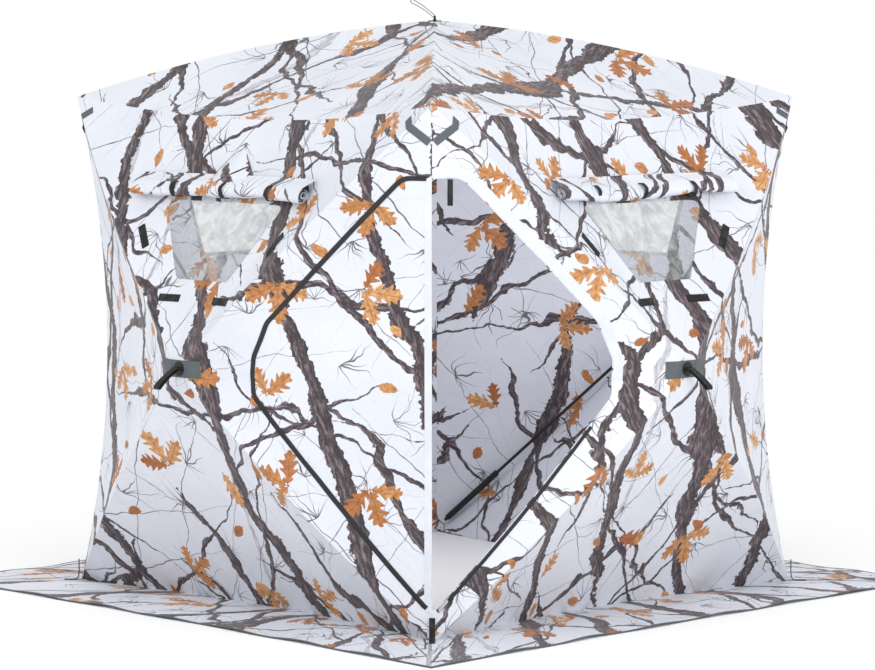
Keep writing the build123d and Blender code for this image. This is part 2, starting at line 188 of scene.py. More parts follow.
# printed spray: a few bare twigs that fan out of each cell's point
def makeSprayGroup():
    tree, given, result = startGroup("printedSpray", ["Density", "Reach", "Cover"], ["Mask"])
    warp = addNode(tree, "TexNoise", {"Vector": given["Vector"], "Scale": 7.0, "Detail": 2.0})
    push = addNode(tree, "VectorMath", [warp.outputs["Color"], (0.5, 0.5, 0.5)], operation="SUBTRACT")
    bent = addNode(tree, "VectorMath", [push, (0.13, 0.13, 0.0), given["Vector"]], operation="MULTIPLY_ADD")
    cells = addNode(tree, "TexVoronoi", {"Vector": bent, "Scale": given["Density"], "Randomness": 0.8},
                    voronoi_dimensions="2D")
    chance = addNode(tree, "SeparateColor", [cells.outputs["Color"]])
    local = addNode(tree, "VectorMath", [bent, cells.outputs["Position"]], operation="SUBTRACT")
    place = addNode(tree, "SeparateXYZ", [local])
    bearing = addNode(tree, "Math", [place.outputs[1], place.outputs[0]], operation="ARCTAN2")
    spun = addNode(tree, "Math", [chance.outputs[0], 6.283, bearing], operation="MULTIPLY_ADD")
    turns = addNode(tree, "Math", [spun, 1.9099], operation="MULTIPLY")
    ray = addNode(tree, "Math", [turns], operation="FLOOR")
    seed = addNode(tree, "Math", [chance.outputs[1], 90.0, ray], operation="MULTIPLY_ADD")
    luck = addNode(tree, "TexWhiteNoise", {"W": seed}, noise_dimensions="1D")
    share = addNode(tree, "Math", [turns], operation="FRACT")
    aim = addNode(tree, "MapRange", [luck, 0.0, 1.0, 0.2, 0.8])
    gap = addNode(tree, "Math", [share, aim], operation="SUBTRACT")
    apart = addNode(tree, "Math", [gap], operation="ABSOLUTE")
    away = addNode(tree, "VectorMath", [local], operation="LENGTH").outputs["Value"]
    arc = addNode(tree, "Math", [away, 0.5236], operation="MULTIPLY")
    off = addNode(tree, "Math", [apart, arc], operation="MULTIPLY")
    reach = addNode(tree, "MapRange", [luck, 0.0, 1.0, 0.35, 1.1])
    length = addNode(tree, "Math", [reach, given["Reach"]], operation="MULTIPLY")
    thick = addNode(tree, "MapRange", [away, 0.0, length, 0.0021, 0.0])
    edge = addNode(tree, "Math", [off, thick], operation="SUBTRACT")
    line = addNode(tree, "MapRange", [edge, -0.0004, 0.0006, 1.0, 0.0])
    near = addNode(tree, "Math", [away, length], operation="LESS_THAN")
    kept = addNode(tree, "Math", [chance.outputs[2], given["Cover"]], operation="GREATER_THAN")
    facing = addNode(tree, "Math", [spun], operation="COSINE")
    ahead = addNode(tree, "Math", [facing, 0.15], operation="GREATER_THAN")
    drawn = addNode(tree, "Math", [line, near], operation="MULTIPLY")
    fanned = addNode(tree, "Math", [drawn, ahead], operation="MULTIPLY")
    mask = addNode(tree, "Math", [fanned, kept], operation="MULTIPLY")
    tree.links.new(mask.outputs[0], result["Mask"])
    return tree


limbGroup, leafGroup, sprayGroup = makeLimbGroup(), makeLeafGroup(), makeSprayGroup()


def startMaterial(name):
    material = bpy.data.materials.new(name)
    material.use_nodes = True
    tree = material.node_tree
    return material, tree, tree.nodes["Principled BSDF"]


# angle, spacing, half width and wander in metres, seed, cover
printLook = {
    "white": "#DCDFE8",
    "shade": "#D3D7E1",
    "ghost": (0.16, 0.45, 0.017, 0.34, 31.0, 0.53),
    "twigs": [(0.55, 0.17, 0.0017, 0.2, 3.0, 0.47), (-0.8, 0.19, 0.0016, 0.2, 8.0, 0.48),
              (1.4, 0.21, 0.0015, 0.2, 13.0, 0.5)],
    "sprays": [(0.0, 3.2, 0.17, 0.2), (3.1, 4.4, 0.12, 0.25)],
    "limbs": [(-1.0, 0.34, 0.0084, 0.4, 17.0, 0.39), (0.9, 0.35, 0.0090, 0.4, 23.0, 0.4),
              (1.55, 0.5, 0.0088, 0.36, 41.0, 0.47), (-0.72, 0.42, 0.0145, 0.42, 5.0, 0.4),
              (0.42, 0.6, 0.0160, 0.4, 61.0, 0.44), (-0.3, 0.36, 0.0285, 0.36, 2.0, 0.3)],
    "leaves": [(0.0, 3.1, 0.054, 0.0, 0.28, 0.08), (0.0, 3.1, 0.05, 1.1, 0.28, 0.35),
               (0.0, 3.1, 0.046, -1.15, 0.28, 0.25), (5.3, 4.1, 0.027, 0.4, 0.05, 0.5)],
}


# quilted polyester with a winter print: bare limbs and oak leaves on white, matt with a soft sheen
def makeSnowPrint():
    material, tree, surface = startMaterial("snowPrintPolyester")
    where = addNode(tree, "UVMap", uv_map="cloth")
    look = printLook
    cloud = addNode(tree, "TexNoise", {"Vector": where, "Scale": 2.2, "Detail": 3.0})
    cloudy = addNode(tree, "MapRange", [cloud, 0.35, 0.7])
    colour = addNode(tree, "Mix", {0: cloudy, 6: toLinear(look["shade"]), 7: toLinear(look["white"])},
                     data_type="RGBA").outputs[2]

    def layLimb(values):
        node = addNode(tree, "Group", node_tree=limbGroup)
        tree.links.new(where.outputs[0], node.inputs["Vector"])
        for label, value in zip(("Angle", "Spacing", "Width", "Wander", "Seed", "Cover"), values):
            node.inputs[label].default_value = value
        return node.outputs

    ghost = layLimb(look["ghost"])
    ghostTone = addNode(tree, "MapRange", [ghost["Bark"], 0.4, 0.62])
    ghostColour = addNode(tree, "Mix", {0: ghostTone, 6: toLinear("#847D84"), 7: toLinear("#D2D2DC")},
                          data_type="RGBA").outputs[2]
    ghostShare = addNode(tree, "Math", [ghost["Mask"], 0.7], operation="MULTIPLY")
    colour = addNode(tree, "Mix", {0: ghostShare, 6: colour, 7: ghostColour}, data_type="RGBA").outputs[2]
    masks = [layLimb(values)["Mask"] for values in look["twigs"]]
    for shift, density, reach, cover in look["sprays"]:
        moved = addNode(tree, "VectorMath", [where, (shift, shift, 0.0)], operation="ADD")
        spray = addNode(tree, "Group", node_tree=sprayGroup)
        tree.links.new(moved.outputs[0], spray.inputs["Vector"])
        for label, value in (("Density", density), ("Reach", reach), ("Cover", cover)):
            spray.inputs[label].default_value = value
        masks.append(spray.outputs["Mask"])
    twigs = masks[0]
    for mask in masks[1:]:
        twigs = addNode(tree, "Math", [twigs, mask], operation="MAXIMUM").outputs[0]
    inked = addNode(tree, "Math", [twigs, 0.88], operation="MULTIPLY")
    colour = addNode(tree, "Mix", {0: inked, 6: colour, 7: toLinear("#43393E")},
                     data_type="RGBA").outputs[2]
    for values in look["limbs"]:
        limb = layLimb(values)
        flecks = addNode(tree, "MapRange", [limb["Bark"], 0.47, 0.66])
        bark = addNode(tree, "Mix", {0: flecks, 6: toLinear("#3A2D32"), 7: toLinear("#8B8085")},
                       data_type="RGBA").outputs[2]
        lit = addNode(tree, "MapRange", [limb["Side"], -0.2, 1.0, 0.0, 0.75])
        bark = addNode(tree, "Mix", {0: lit, 6: bark, 7: toLinear("#2E2428")}, data_type="RGBA").outputs[2]
        colour = addNode(tree, "Mix", {0: limb["Mask"], 6: colour, 7: bark}, data_type="RGBA").outputs[2]
    mottle = addNode(tree, "TexNoise", {"Vector": where, "Scale": 60.0, "Detail": 3.0})
    mottled = addNode(tree, "MapRange", [mottle, 0.35, 0.7, 0.0, 0.65])
    for shift, density, length, turn, lobes, cover in look["leaves"]:
        moved = addNode(tree, "VectorMath", [where, (shift, shift, 0.0)], operation="ADD")
        leaf = addNode(tree, "Group", node_tree=leafGroup)
        tree.links.new(moved.outputs[0], leaf.inputs["Vector"])
        for label, value in (("Density", density), ("Length", length), ("Turn", turn), ("Lobes", lobes),
                             ("Cover", cover)):
            leaf.inputs[label].default_value = value
        blade = addNode(tree, "Mix", {0: leaf.outputs["Tone"], 6: toLinear("#DFA76C"),
                                      7: toLinear("#AA642C")},
                        data_type="RGBA").outputs[2]
        blade = addNode(tree, "Mix", {0: mottled, 6: blade, 7: toLinear("#80451E")},
                        data_type="RGBA").outputs[2]
        vein = addNode(tree, "Math", [leaf.outputs["Vein"], 0.45], operation="MULTIPLY")
        blade = addNode(tree, "Mix", {0: vein, 6: blade, 7: toLinear("#5E3017")},
                        data_type="RGBA").outputs[2]
        colour = addNode(tree, "Mix", {0: leaf.outputs["Mask"], 6: colour, 7: blade},
                         data_type="RGBA").outputs[2]
    tree.links.new(colour, surface.inputs["Base Color"])
    surface.inputs["Roughness"].default_value = 0.6
    surface.inputs["Sheen Weight"].default_value = 0.1
    # diamond quilting every 30 mm, slack creases, and a weave drawn coarse enough to show
    slanted = addNode(tree, "VectorRotate", {"Vector": where, "Angle": math.radians(45)},
                      rotation_type="Z_AXIS")
    cells = addNode(tree, "VectorMath", [slanted, (1 / 0.03, 1 / 0.03, 1.0)], operation="MULTIPLY")
    cell = addNode(tree, "VectorMath", [cells], operation="FRACTION")
    place = addNode(tree, "SeparateXYZ", [cell])
    sides = []
    for i in (0, 1):
        centred = addNode(tree, "Math", [place.outputs[i], 0.5], operation="SUBTRACT")
        away = addNode(tree, "Math", [centred], operation="ABSOLUTE")
        sides.append(addNode(tree, "MapRange", [away, 0.5, 0.34, 0.0, 0.0005],
                             interpolation_type="SMOOTHSTEP"))
    pillow = addNode(tree, "Math", sides, operation="MINIMUM")
    weave = addNode(tree, "TexNoise", {"Vector": where, "Scale": 700.0, "Detail": 1.0})
    crease = addNode(tree, "TexNoise", {"Vector": where, "Scale": 4.5, "Detail": 3.0, "Distortion": 1.5})
    fine = addNode(tree, "Math", [weave, 0.00008, pillow], operation="MULTIPLY_ADD")
    height = addNode(tree, "Math", [crease, 0.011, fine], operation="MULTIPLY_ADD")
    bump = addNode(tree, "Bump", {"Height": height, "Strength": 0.8, "Distance": 1.0})
    tree.links.new(bump.outputs[0], surface.inputs["Normal"])
    return material


# woven polyester tape: dull, ribbed about every 2 mm, paler where dust sits
def makeWebbing(name, dark, light, ribs=180.0):
    material, tree, surface = startMaterial(name)
    where = addNode(tree, "TexCoord").outputs["Object"]
    warp = addNode(tree, "TexWave", {"Vector": where, "Scale": ribs, "Distortion": 0.5},
                   bands_direction="Z")
    weft = addNode(tree, "TexWave", {"Vector": where, "Scale": ribs, "Distortion": 0.5},
                   bands_direction="DIAGONAL")
    woven = addNode(tree, "Math", [warp, weft], operation="MULTIPLY")
    dust = addNode(tree, "TexNoise", {"Vector": where, "Scale": 30.0, "Detail": 3.0})
    dusty = addNode(tree, "MapRange", [dust, 0.5, 0.8, 0.0, 0.15])
    colour = addNode(tree, "Mix", {0: woven, 6: toLinear(dark), 7: toLinear(light)},
                     data_type="RGBA").outputs[2]
    colour = addNode(tree, "Mix", {0: dusty, 6: colour, 7: toLinear("#8C9092")},
                     data_type="RGBA").outputs[2]
    tree.links.new(colour, surface.inputs["Base Color"])
    surface.inputs["Roughness"].default_value = 0.75
    bump = addNode(tree, "Bump", {"Height": woven, "Strength": 0.5, "Distance": 0.0004})
    tree.links.new(bump.outputs[0], surface.inputs["Normal"])
    return material


# moulded, drawn or plated parts: fine grain in the gloss, slow change of tone
def makeSolid(name, base, other, roughness, metallic=0.0, grain=160.0, stretch=(1.0, 1.0, 1.0)):
    material, tree, surface = startMaterial(name)
    where = addNode(tree, "TexCoord").outputs["Object"]
    pulled = addNode(tree, "VectorMath", [where, stretch], operation="MULTIPLY")
    fine = addNode(tree, "TexNoise", {"Vector": pulled, "Scale": grain, "Detail": 3.0})
    broad = addNode(tree, "TexNoise", {"Vector": where, "Scale": 14.0, "Detail": 3.0})
    tone = addNode(tree, "MapRange", [broad, 0.4, 0.75])
    colour = addNode(tree, "Mix", {0: tone, 6: toLinear(base), 7: toLinear(other)},
                     data_type="RGBA").outputs[2]
    tree.links.new(colour, surface.inputs["Base Color"])
    gloss = addNode(tree, "MapRange", [fine, 0.3, 0.8, roughness * 0.8, roughness * 1.25])
    tree.links.new(gloss.outputs[0], surface.inputs["Roughness"])
    surface.inputs["Metallic"].default_value = metallic
    bump = addNode(tree, "Bump", {"Height": fine, "Strength": 0.4, "Distance": 0.0003})
    tree.links.new(bump.outputs[0], surface.inputs["Normal"])
    return material


# clear vinyl sheet: see-through and glossy, milky where it creases
def makeVinyl():
    material, tree, surface = startMaterial("clearVinylSheet")
    where = addNode(tree, "UVMap", uv_map="cloth")
    crease = addNode(tree, "TexNoise", {"Vector": where, "Scale": 9.0, "Detail": 3.0, "Distortion": 2.5})
    surface.inputs["Base Color"].default_value = toLinear("#BFC4C6")
    surface.inputs["Roughness"].default_value = 0.1
    haze = addNode(tree, "MapRange", [crease, 0.42, 0.7, 0.12, 0.45])
    tree.links.new(haze.outputs[0], surface.inputs["Alpha"])
    bump = addNode(tree, "Bump", {"Height": crease, "Strength": 1.0, "Distance": 0.02})
    tree.links.new(bump.outputs[0], surface.inputs["Normal"])
    return material


# nylon coil zip: black tape, teeth across it every 3 mm painted paler as painted sheen, drawn coarse enough to show
def makeZip():
    material, tree, surface = startMaterial("nylonCoilZip")
    where = addNode(tree, "UVMap", uv_map="cloth")
    teeth = addNode(tree, "TexWave", {"Vector": where, "Scale": 105.0}, bands_direction="X")
    # the paler colour of the teeth is painted sheen; the roughness stays even over tape and teeth
    colour = addNode(tree, "Mix", {0: teeth, 6: toLinear("#050506"), 7: toLinear("#212125")},
                     data_type="RGBA").outputs[2]
    tree.links.new(colour, surface.inputs["Base Color"])
    surface.inputs["Roughness"].default_value = 0.5
    bump = addNode(tree, "Bump", {"Height": teeth, "Strength": 0.7, "Distance": 0.0008})
    tree.links.new(bump.outputs[0], surface.inputs["Normal"])
    return material


snowPrint = makeSnowPrint()
blackWebbing = makeWebbing("blackPolyesterWebbing", "#060607", "#222226")
greyWebbing = makeWebbing("greyPolyesterWebbing", "#474E52", "#727B80")
hookTape = makeWebbing("blackHookTape", "#050506", "#1B1B1D", 300.0)
meshCloth = makeWebbing("blackVentMesh", "#030303", "#18191B", 260.0)
lining = makeSolid("whiteLiningPolyester", "#D2D6DE", "#DEE1E8", 0.65, grain=300.0)
rodGlass = makeSolid("pultrudedFibreglass", "#08080A", "#151518", 0.38, grain=260.0,
                     stretch=(1.0, 1.0, 0.3))
hubNylon = makeSolid("mouldedNylon", "#101012", "#1B1B1E", 0.5)
platedSteel = makeSolid("zincPlatedSteel", "#A5A8AC", "#C4C7CA", 0.34, metallic=0.9, grain=120.0)
zipTape = makeZip()
vinyl = makeVinyl()
print("materials made")

# ---- the sprung cloth's shape ----

tent = {
    "halfWidth": 0.9,
    "cornerHeight": 1.74,
    "hubHeight": 0.85,
    "wallRise": 0.3,
    "roofRise": 0.265,
    "flatHalf": 0.045,
    "rodBow": 0.036,
    "edgeShare": 0.139,
    "cloth": 0.003,
}
halfWidth, flatHalf = tent["halfWidth"], tent["flatHalf"]
wallLow, wallHigh = -tent["hubHeight"], tent["cornerHeight"] - tent["hubHeight"]


# a face has its hub's foot, its outward and sideways directions, and how its edges bow
def makeFace(origin, normal, across, rise, low, high, bows, uvShift):
    up = Vector(normal).cross(Vector(across))
    return {"origin": np.array(origin), "normal": np.array(normal, float),
            "across": np.array(across, float),
            "up": np.array(up), "rise": rise, "low": low, "high": high,
            "bows": dict(zip(("left", "right", "bottom", "top"), bows)), "uvShift": np.array(uvShift)}


faces = {
    "front_left": makeFace((0, -0.9, 0.85), (0, -1, 0), (1, 0, 0), 0.3, wallLow, wallHigh,
                           (0.071, 0, 0.09, 0.065), (1.3, 2.4)),
    "front_right": makeFace((0.9, 0, 0.85), (1, 0, 0), (0, 1, 0), 0.3, wallLow, wallHigh,
                            (0, 0.071, 0.09, 0.065), (5.9, 0.7)),
    "back_right": makeFace((0, 0.9, 0.85), (0, 1, 0), (-1, 0, 0), 0.3, wallLow, wallHigh,
                           (0.071, 0.071, 0.09, 0.065), (9.4, 3.3)),
    "back_left": makeFace((-0.9, 0, 0.85), (-1, 0, 0), (0, -1, 0), 0.3, wallLow, wallHigh,
                          (0.071, 0.071, 0.09, 0.065), (13.2, 1.1)),
    "roof": makeFace((0, 0, 1.74), (0, 0, 1), (1, 0, 0), 0.265, -halfWidth, halfWidth,
                     (0.065, 0.065, 0.065, 0.065), (17.6, 5.2)),
}
walls = [name for name in faces if name != "roof"]
sides = ("top", "right", "bottom", "left")


# each side is worked out as if it were on the right: n away from the hub, m along the rim
def toSide(side, u, v):
    return {"top": (v, u), "bottom": (-v, u), "right": (u, v), "left": (-u, v)}[side]


def fromSide(side, n, m):
    return {"top": (m, n), "bottom": (m, -n), "right": (n, m), "left": (-n, m)}[side]


def rimOf(face, side):
    bow = face["bows"][side]
    if side in ("left", "right"):
        return halfWidth, face["low"], face["high"], bow, bow
    reach = face["high"] if side == "top" else -face["low"]
    onGround = side == "bottom" and face["normal"][2] == 0
    return reach, -halfWidth, halfWidth, 0 if onGround else bow, bow


# s runs along the rim and t from the rim to the hub's flat
def facetPlaces(face, side, s, t):
    reach, start, end, bowIn, _ = rimOf(face, side)
    arch = 1 - (2 * s - 1) ** 2
    n = (1 - t) * (reach - bowIn * arch) + t * flatHalf
    m = (1 - t) * (start + (end - start) * s) + t * (2 * s - 1) * flatHalf
    u, v = fromSide(side, n, m)
    return np.stack([u, v], 1)


def facetHeight(face, side, u, v):
    n, m = toSide(side, u, v)
    reach, start, end, bowIn, bowOut = rimOf(face, side)
    s = np.full_like(n, 0.5)
    for _ in range(12):
        rim = reach - bowIn * (1 - (2 * s - 1) ** 2)
        t = np.clip((rim - n) / (rim - flatHalf), -0.05, 1.0)
        s = (m - (1 - t) * start + t * flatHalf) / ((1 - t) * (end - start) + 2 * flatHalf * t)
        s = np.clip(s, -0.05, 1.05)
    arch = 1 - (2 * s - 1) ** 2
    hump = 4 * t * (1 - t)
    h = t * face["rise"] - (1 - t) * bowOut * arch
    h = h + tent["rodBow"] * hump * (0.25 + 0.75 * np.abs(2 * s - 1) ** 2.5)
    # slack ripples that fan out of the hub and die out at every seam
    k = face["uvShift"][0]
    calm = hump * np.clip(arch, 0, 1)
    fan = np.sin(26 * s + k) + 0.6 * np.sin(47 * s + 2.3 * k + 3 * n)
    return h + calm * (0.0016 * fan + 0.0016 * np.sin(21 * n + 8 * m + k) + 0.001 * np.sin(38 * m - 17 * n + k))


def sideAt(face, u, v):
    rise = np.abs(u) - flatHalf
    up = (face["high"] - flatHalf) / (halfWidth - flatHalf)
    down = (-face["low"] - flatHalf) / (halfWidth - flatHalf)
    side = np.where(u > 0, "right", "left").astype("<U6")
    side = np.where(v - flatHalf > rise * up, "top", side)
    return np.where(-v - flatHalf > rise * down, "bottom", side)


# world places of points given by where they stand on the face
def layOn(face, flat, lift=0.0, side=None):
    u, v = flat[:, 0], flat[:, 1]
    if side:
        h = facetHeight(face, side, u, v)
    else:
        h, which = np.zeros(len(u)), sideAt(face, u, v)
        for name in sides:
            here = which == name
            if here.any():
                h[here] = facetHeight(face, name, u[here], v[here])
    onFlat = (np.abs(u) <= flatHalf + 1e-6) & (np.abs(v) <= flatHalf + 1e-6)
    h = np.where(onFlat, face["rise"], h) + lift
    return face["origin"] + np.outer(u, face["across"]) + np.outer(v, face["up"]) + np.outer(h, face["normal"])


# ---- outlines on a face ----


def roundOff(points, radius, steps=7):
    rounded = []
    for i, corner in enumerate(points):
        b = np.array(corner, float)
        a, c = np.array(points[i - 1], float), np.array(points[(i + 1) % len(points)], float)
        into, out = (a - b) / np.linalg.norm(a - b), (c - b) / np.linalg.norm(c - b)
        half = math.acos(np.clip(into @ out, -1, 1)) / 2
        back = min(radius / math.tan(half), 0.45 * np.linalg.norm(a - b), 0.45 * np.linalg.norm(c - b))
        for k in range(steps):
            f = k / (steps - 1)
            rounded.append((1 - f) ** 2 * (b + into * back) + 2 * f * (1 - f) * b + f * f * (b + out * back))
    return np.array(rounded)


def spread(points, step):
    gaps = np.linalg.norm(np.diff(points, axis=0), axis=1)
    along = np.concatenate([[0], np.cumsum(gaps)])
    at = np.linspace(0, along[-1], max(2, int(round(along[-1] / step)) + 1))
    return np.stack([np.interp(at, along, points[:, i]) for i in range(points.shape[1])], 1), at


def grown(points, amount):
    before, after = np.roll(points, 1, 0), np.roll(points, -1, 0)
    run = after - before
    out = np.stack([run[:, 1], -run[:, 0]], 1) / np.maximum(np.linalg.norm(run, axis=1), 1e-9)[:, None]
    turn = np.sum(points[:, 0] * after[:, 1] - after[:, 0] * points[:, 1])
    return points + out * amount * (1 if turn > 0 else -1)


def isInside(outline, flat):
    u, v = flat[:, 0], flat[:, 1]
    found = np.zeros(len(u), bool)
    for (x0, y0), (x1, y1) in zip(outline, np.roll(outline, 1, 0)):
        if y0 != y1:
            found ^= ((y0 > v) != (y1 > v)) & (u < (x1 - x0) * (v - y0) / (y1 - y0) + x0)
    return found


def nearestOn(outline, flat):
    best, spot = np.full(len(flat), 9.0), np.zeros((len(flat), 2))
    for p, q in zip(outline, np.roll(outline, -1, 0)):
        d = q - p
        f = np.clip((flat - p) @ d / max(d @ d, 1e-12), 0, 1)
        at = p + f[:, None] * d
        gap = np.linalg.norm(flat - at, axis=1)
        closer = gap < best
        best[closer], spot[closer] = gap[closer], at[closer]
    return best, spot


# ---- making pieces ----


def startGrid(name, columns, rows):
    bpy.ops.object.select_all(action="DESELECT")
    bpy.ops.mesh.primitive_grid_add(x_subdivisions=columns, y_subdivisions=rows, size=2)
    piece = bpy.context.object
    piece.name = piece.data.name = name
    places = np.array([v.co for v in piece.data.vertices])
    return piece, (places[:, 0] + 1) / 2, (places[:, 1] + 1) / 2


# deletes marked faces, and says which vertices are left
def dropFaces(piece, gone):
    number = piece.data.attributes.new("number", "INT", "POINT")
    number.data.foreach_set("value", np.arange(len(piece.data.vertices), dtype=np.int32))
    bpy.ops.object.mode_set(mode="EDIT")
    bpy.ops.mesh.select_mode(type="FACE")
    bpy.ops.mesh.select_all(action="DESELECT")
    bpy.ops.object.mode_set(mode="OBJECT")
    piece.data.polygons.foreach_set("select", gone)
    bpy.ops.object.mode_set(mode="EDIT")
    bpy.ops.mesh.delete(type="FACE")
    bpy.ops.object.mode_set(mode="OBJECT")
    left = np.zeros(len(piece.data.vertices), dtype=np.int32)
    piece.data.attributes["number"].data.foreach_get("value", left)
    piece.data.attributes.remove(piece.data.attributes["number"])
    return left


# whole faces go first, then the new rim slides on to the line
def trimTo(piece, flat, outline, keepInside=False, reach=0.03):
    middles = np.array([flat[list(p.vertices)].mean(0) for p in piece.data.polygons])
    within = isInside(outline, middles)
    flat = flat[dropFaces(piece, ~within if keepInside else within)].copy()
    uses = {}
    for polygon in piece.data.polygons:
        for edge in polygon.edge_keys:
            uses[edge] = uses.get(edge, 0) + 1
    rim = np.array(sorted({v for edge, count in uses.items() if count == 1 for v in edge}))
    gap, spot = nearestOn(outline, flat[rim])
    flat[rim[gap < reach]] = spot[gap < reach]
    return flat


def setMesh(piece, places, uv, outward=None):
    piece.data.vertices.foreach_set("co", places.astype(np.float32).ravel())
    piece.data.update()
    if outward is not None:
        normals = np.array([p.normal for p in piece.data.polygons])
        if (normals @ np.asarray(outward)).mean() < 0:
            piece.data.flip_normals()
    for layer in list(piece.data.uv_layers):
        piece.data.uv_layers.remove(layer)
    layer = piece.data.uv_layers.new(name="cloth")
    corners = np.zeros(len(piece.data.loops), dtype=np.int32)
    piece.data.loops.foreach_get("vertex_index", corners)
    layer.data.foreach_set("uv", uv[corners].astype(np.float32).ravel())


# wall thickness, finish and smooth shading
def finishPiece(piece, thickness, material, offset=-1.0, sharp=None):
    bpy.context.view_layer.objects.active = piece
    modifier = piece.modifiers.new("wall", "SOLIDIFY")
    modifier.thickness, modifier.offset = thickness, offset
    bpy.ops.object.modifier_apply(modifier="wall")
    piece.data.materials.clear()
    piece.data.materials.append(material)
    bpy.ops.object.select_all(action="DESELECT")
    piece.select_set(True)
    bpy.ops.object.shade_smooth_by_angle(angle=math.radians(sharp or 50))


# bakes the piece's placement into its mesh; the piece is not tied to the hub
def blendWith(piece):
    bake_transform(piece)


# a flat shape sewn on or behind one facet
def layPatch(name, faceName, side, outline, step, lift, thickness, material, holes=(), blended=True):
    face = faces[faceName]
    low, high = outline.min(0), outline.max(0)
    counts = np.maximum(np.ceil((high - low) / step).astype(int), 2)
    piece, s, t = startGrid(name, int(counts[0]), int(counts[1]))
    flat = low + np.stack([s, t], 1) * (high - low)
    flat = trimTo(piece, flat, outline, keepInside=True, reach=step)
    for hole in holes:
        flat = trimTo(piece, flat, hole, reach=step)
    setMesh(piece, layOn(face, flat, lift, side), flat + face["uvShift"], face["normal"])
    finishPiece(piece, thickness, material)
    if blended:
        blendWith(piece)
    return piece


# a tape along a line on a face, its teeth or ribs across it
def layTape(name, faceName, side, line, halfTape, lift, thickness, material, crown=0.0, step=0.012):
    face = faces[faceName]
    line, along = spread(line, step)
    run = np.gradient(line, axis=0)
    out = np.stack([run[:, 1], -run[:, 0]], 1) / np.linalg.norm(run, axis=1)[:, None]
    piece, s, t = startGrid(name, len(line) - 1, 4)
    at = np.rint(s * (len(line) - 1)).astype(int)
    flat = line[at] + out[at] * ((2 * t - 1) * halfTape)[:, None]
    lifts = lift + crown * (1 - (2 * t - 1) ** 2)
    setMesh(piece, layOn(face, flat, lifts, side), np.stack([along[at], t * 2 * halfTape], 1),
            face["normal"])
    finishPiece(piece, thickness, material)
    blendWith(piece)
    return piece


def rectangle(u, v, width, height, turn=0.0):
    c, s = math.cos(math.radians(turn)), math.sin(math.radians(turn))
    corners = [(-width, -height), (width, -height), (width, height), (-width, height)]
    return np.array([(u + (x * c - y * s) / 2, v + (x * s + y * c) / 2) for x, y in corners])


flipped = np.array([-1, 1])
windowHole = roundOff([(-0.302, 0.55), (0.302, 0.55), (0.13, 0.29), (-0.13, 0.29)], 0.025)
ventHole = roundOff([(-0.07, 0.64), (0.03, 0.64), (-0.02, 0.715)], 0.008)
doorCorners = [(0.96, 0.655), (0.808, 0.655), (0.34, 0.17), (0.285, 0.05), (0.285, -0.075), (0.89, -0.75),
               (0.96, -0.75)]
doorHole = roundOff(doorCorners, 0.06)
doorSides = {"front_left": ("right", 1), "front_right": ("left", -1)}

# ---- walls and roof: four facets and the small flat under each hub ----


def makeFacet(faceName, side):
    face = faces[faceName]
    holes = []
    if side == "top" and faceName != "roof":
        holes = [windowHole, ventHole] if faceName == "front_left" else [windowHole]
    if doorSides.get(faceName, ("", 0))[0] == side:
        holes = [doorHole * [doorSides[faceName][1], 1]]
    fine = 1.7 if holes else 1.0
    piece, s, t = startGrid(f"{faceName}_cloth_{side}", int(84 * fine), int(50 * fine))
    flat = facetPlaces(face, side, s, t)
    for hole in holes:
        flat = trimTo(piece, flat, hole, reach=0.025)
    setMesh(piece, layOn(face, flat, 0, side), flat + face["uvShift"], face["normal"])
    finishPiece(piece, tent["cloth"], snowPrint)
    blendWith(piece)
    return piece


for faceName, face in faces.items():
    cloths = [makeFacet(faceName, side) for side in sides]
    peak, s, t = startGrid(f"{faceName}_cloth_peak", 6, 6)
    flat = np.stack([(2 * s - 1) * flatHalf, (2 * t - 1) * flatHalf], 1)
    setMesh(peak, layOn(face, flat), flat + face["uvShift"], face["normal"])
    finishPiece(peak, tent["cloth"], snowPrint)
    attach(peak, f"{faceName}_hub")
    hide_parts("roof_cloth" if faceName == "roof" else f"{faceName}_wall")
print("walls and roof made")

# ---- windows ----

window = {
    "filmOverlap": 0.014,
    "filmDepth": 0.004,
    "rollHalf": 0.43,
    "rollHeight": 0.588,
    "rollOut": 0.036,
    "rollInner": 0.007,
    "rollOuter": 0.024,
    "rollTurns": 2.6,
    "tieShares": (0.22, 0.5, 0.78),
}


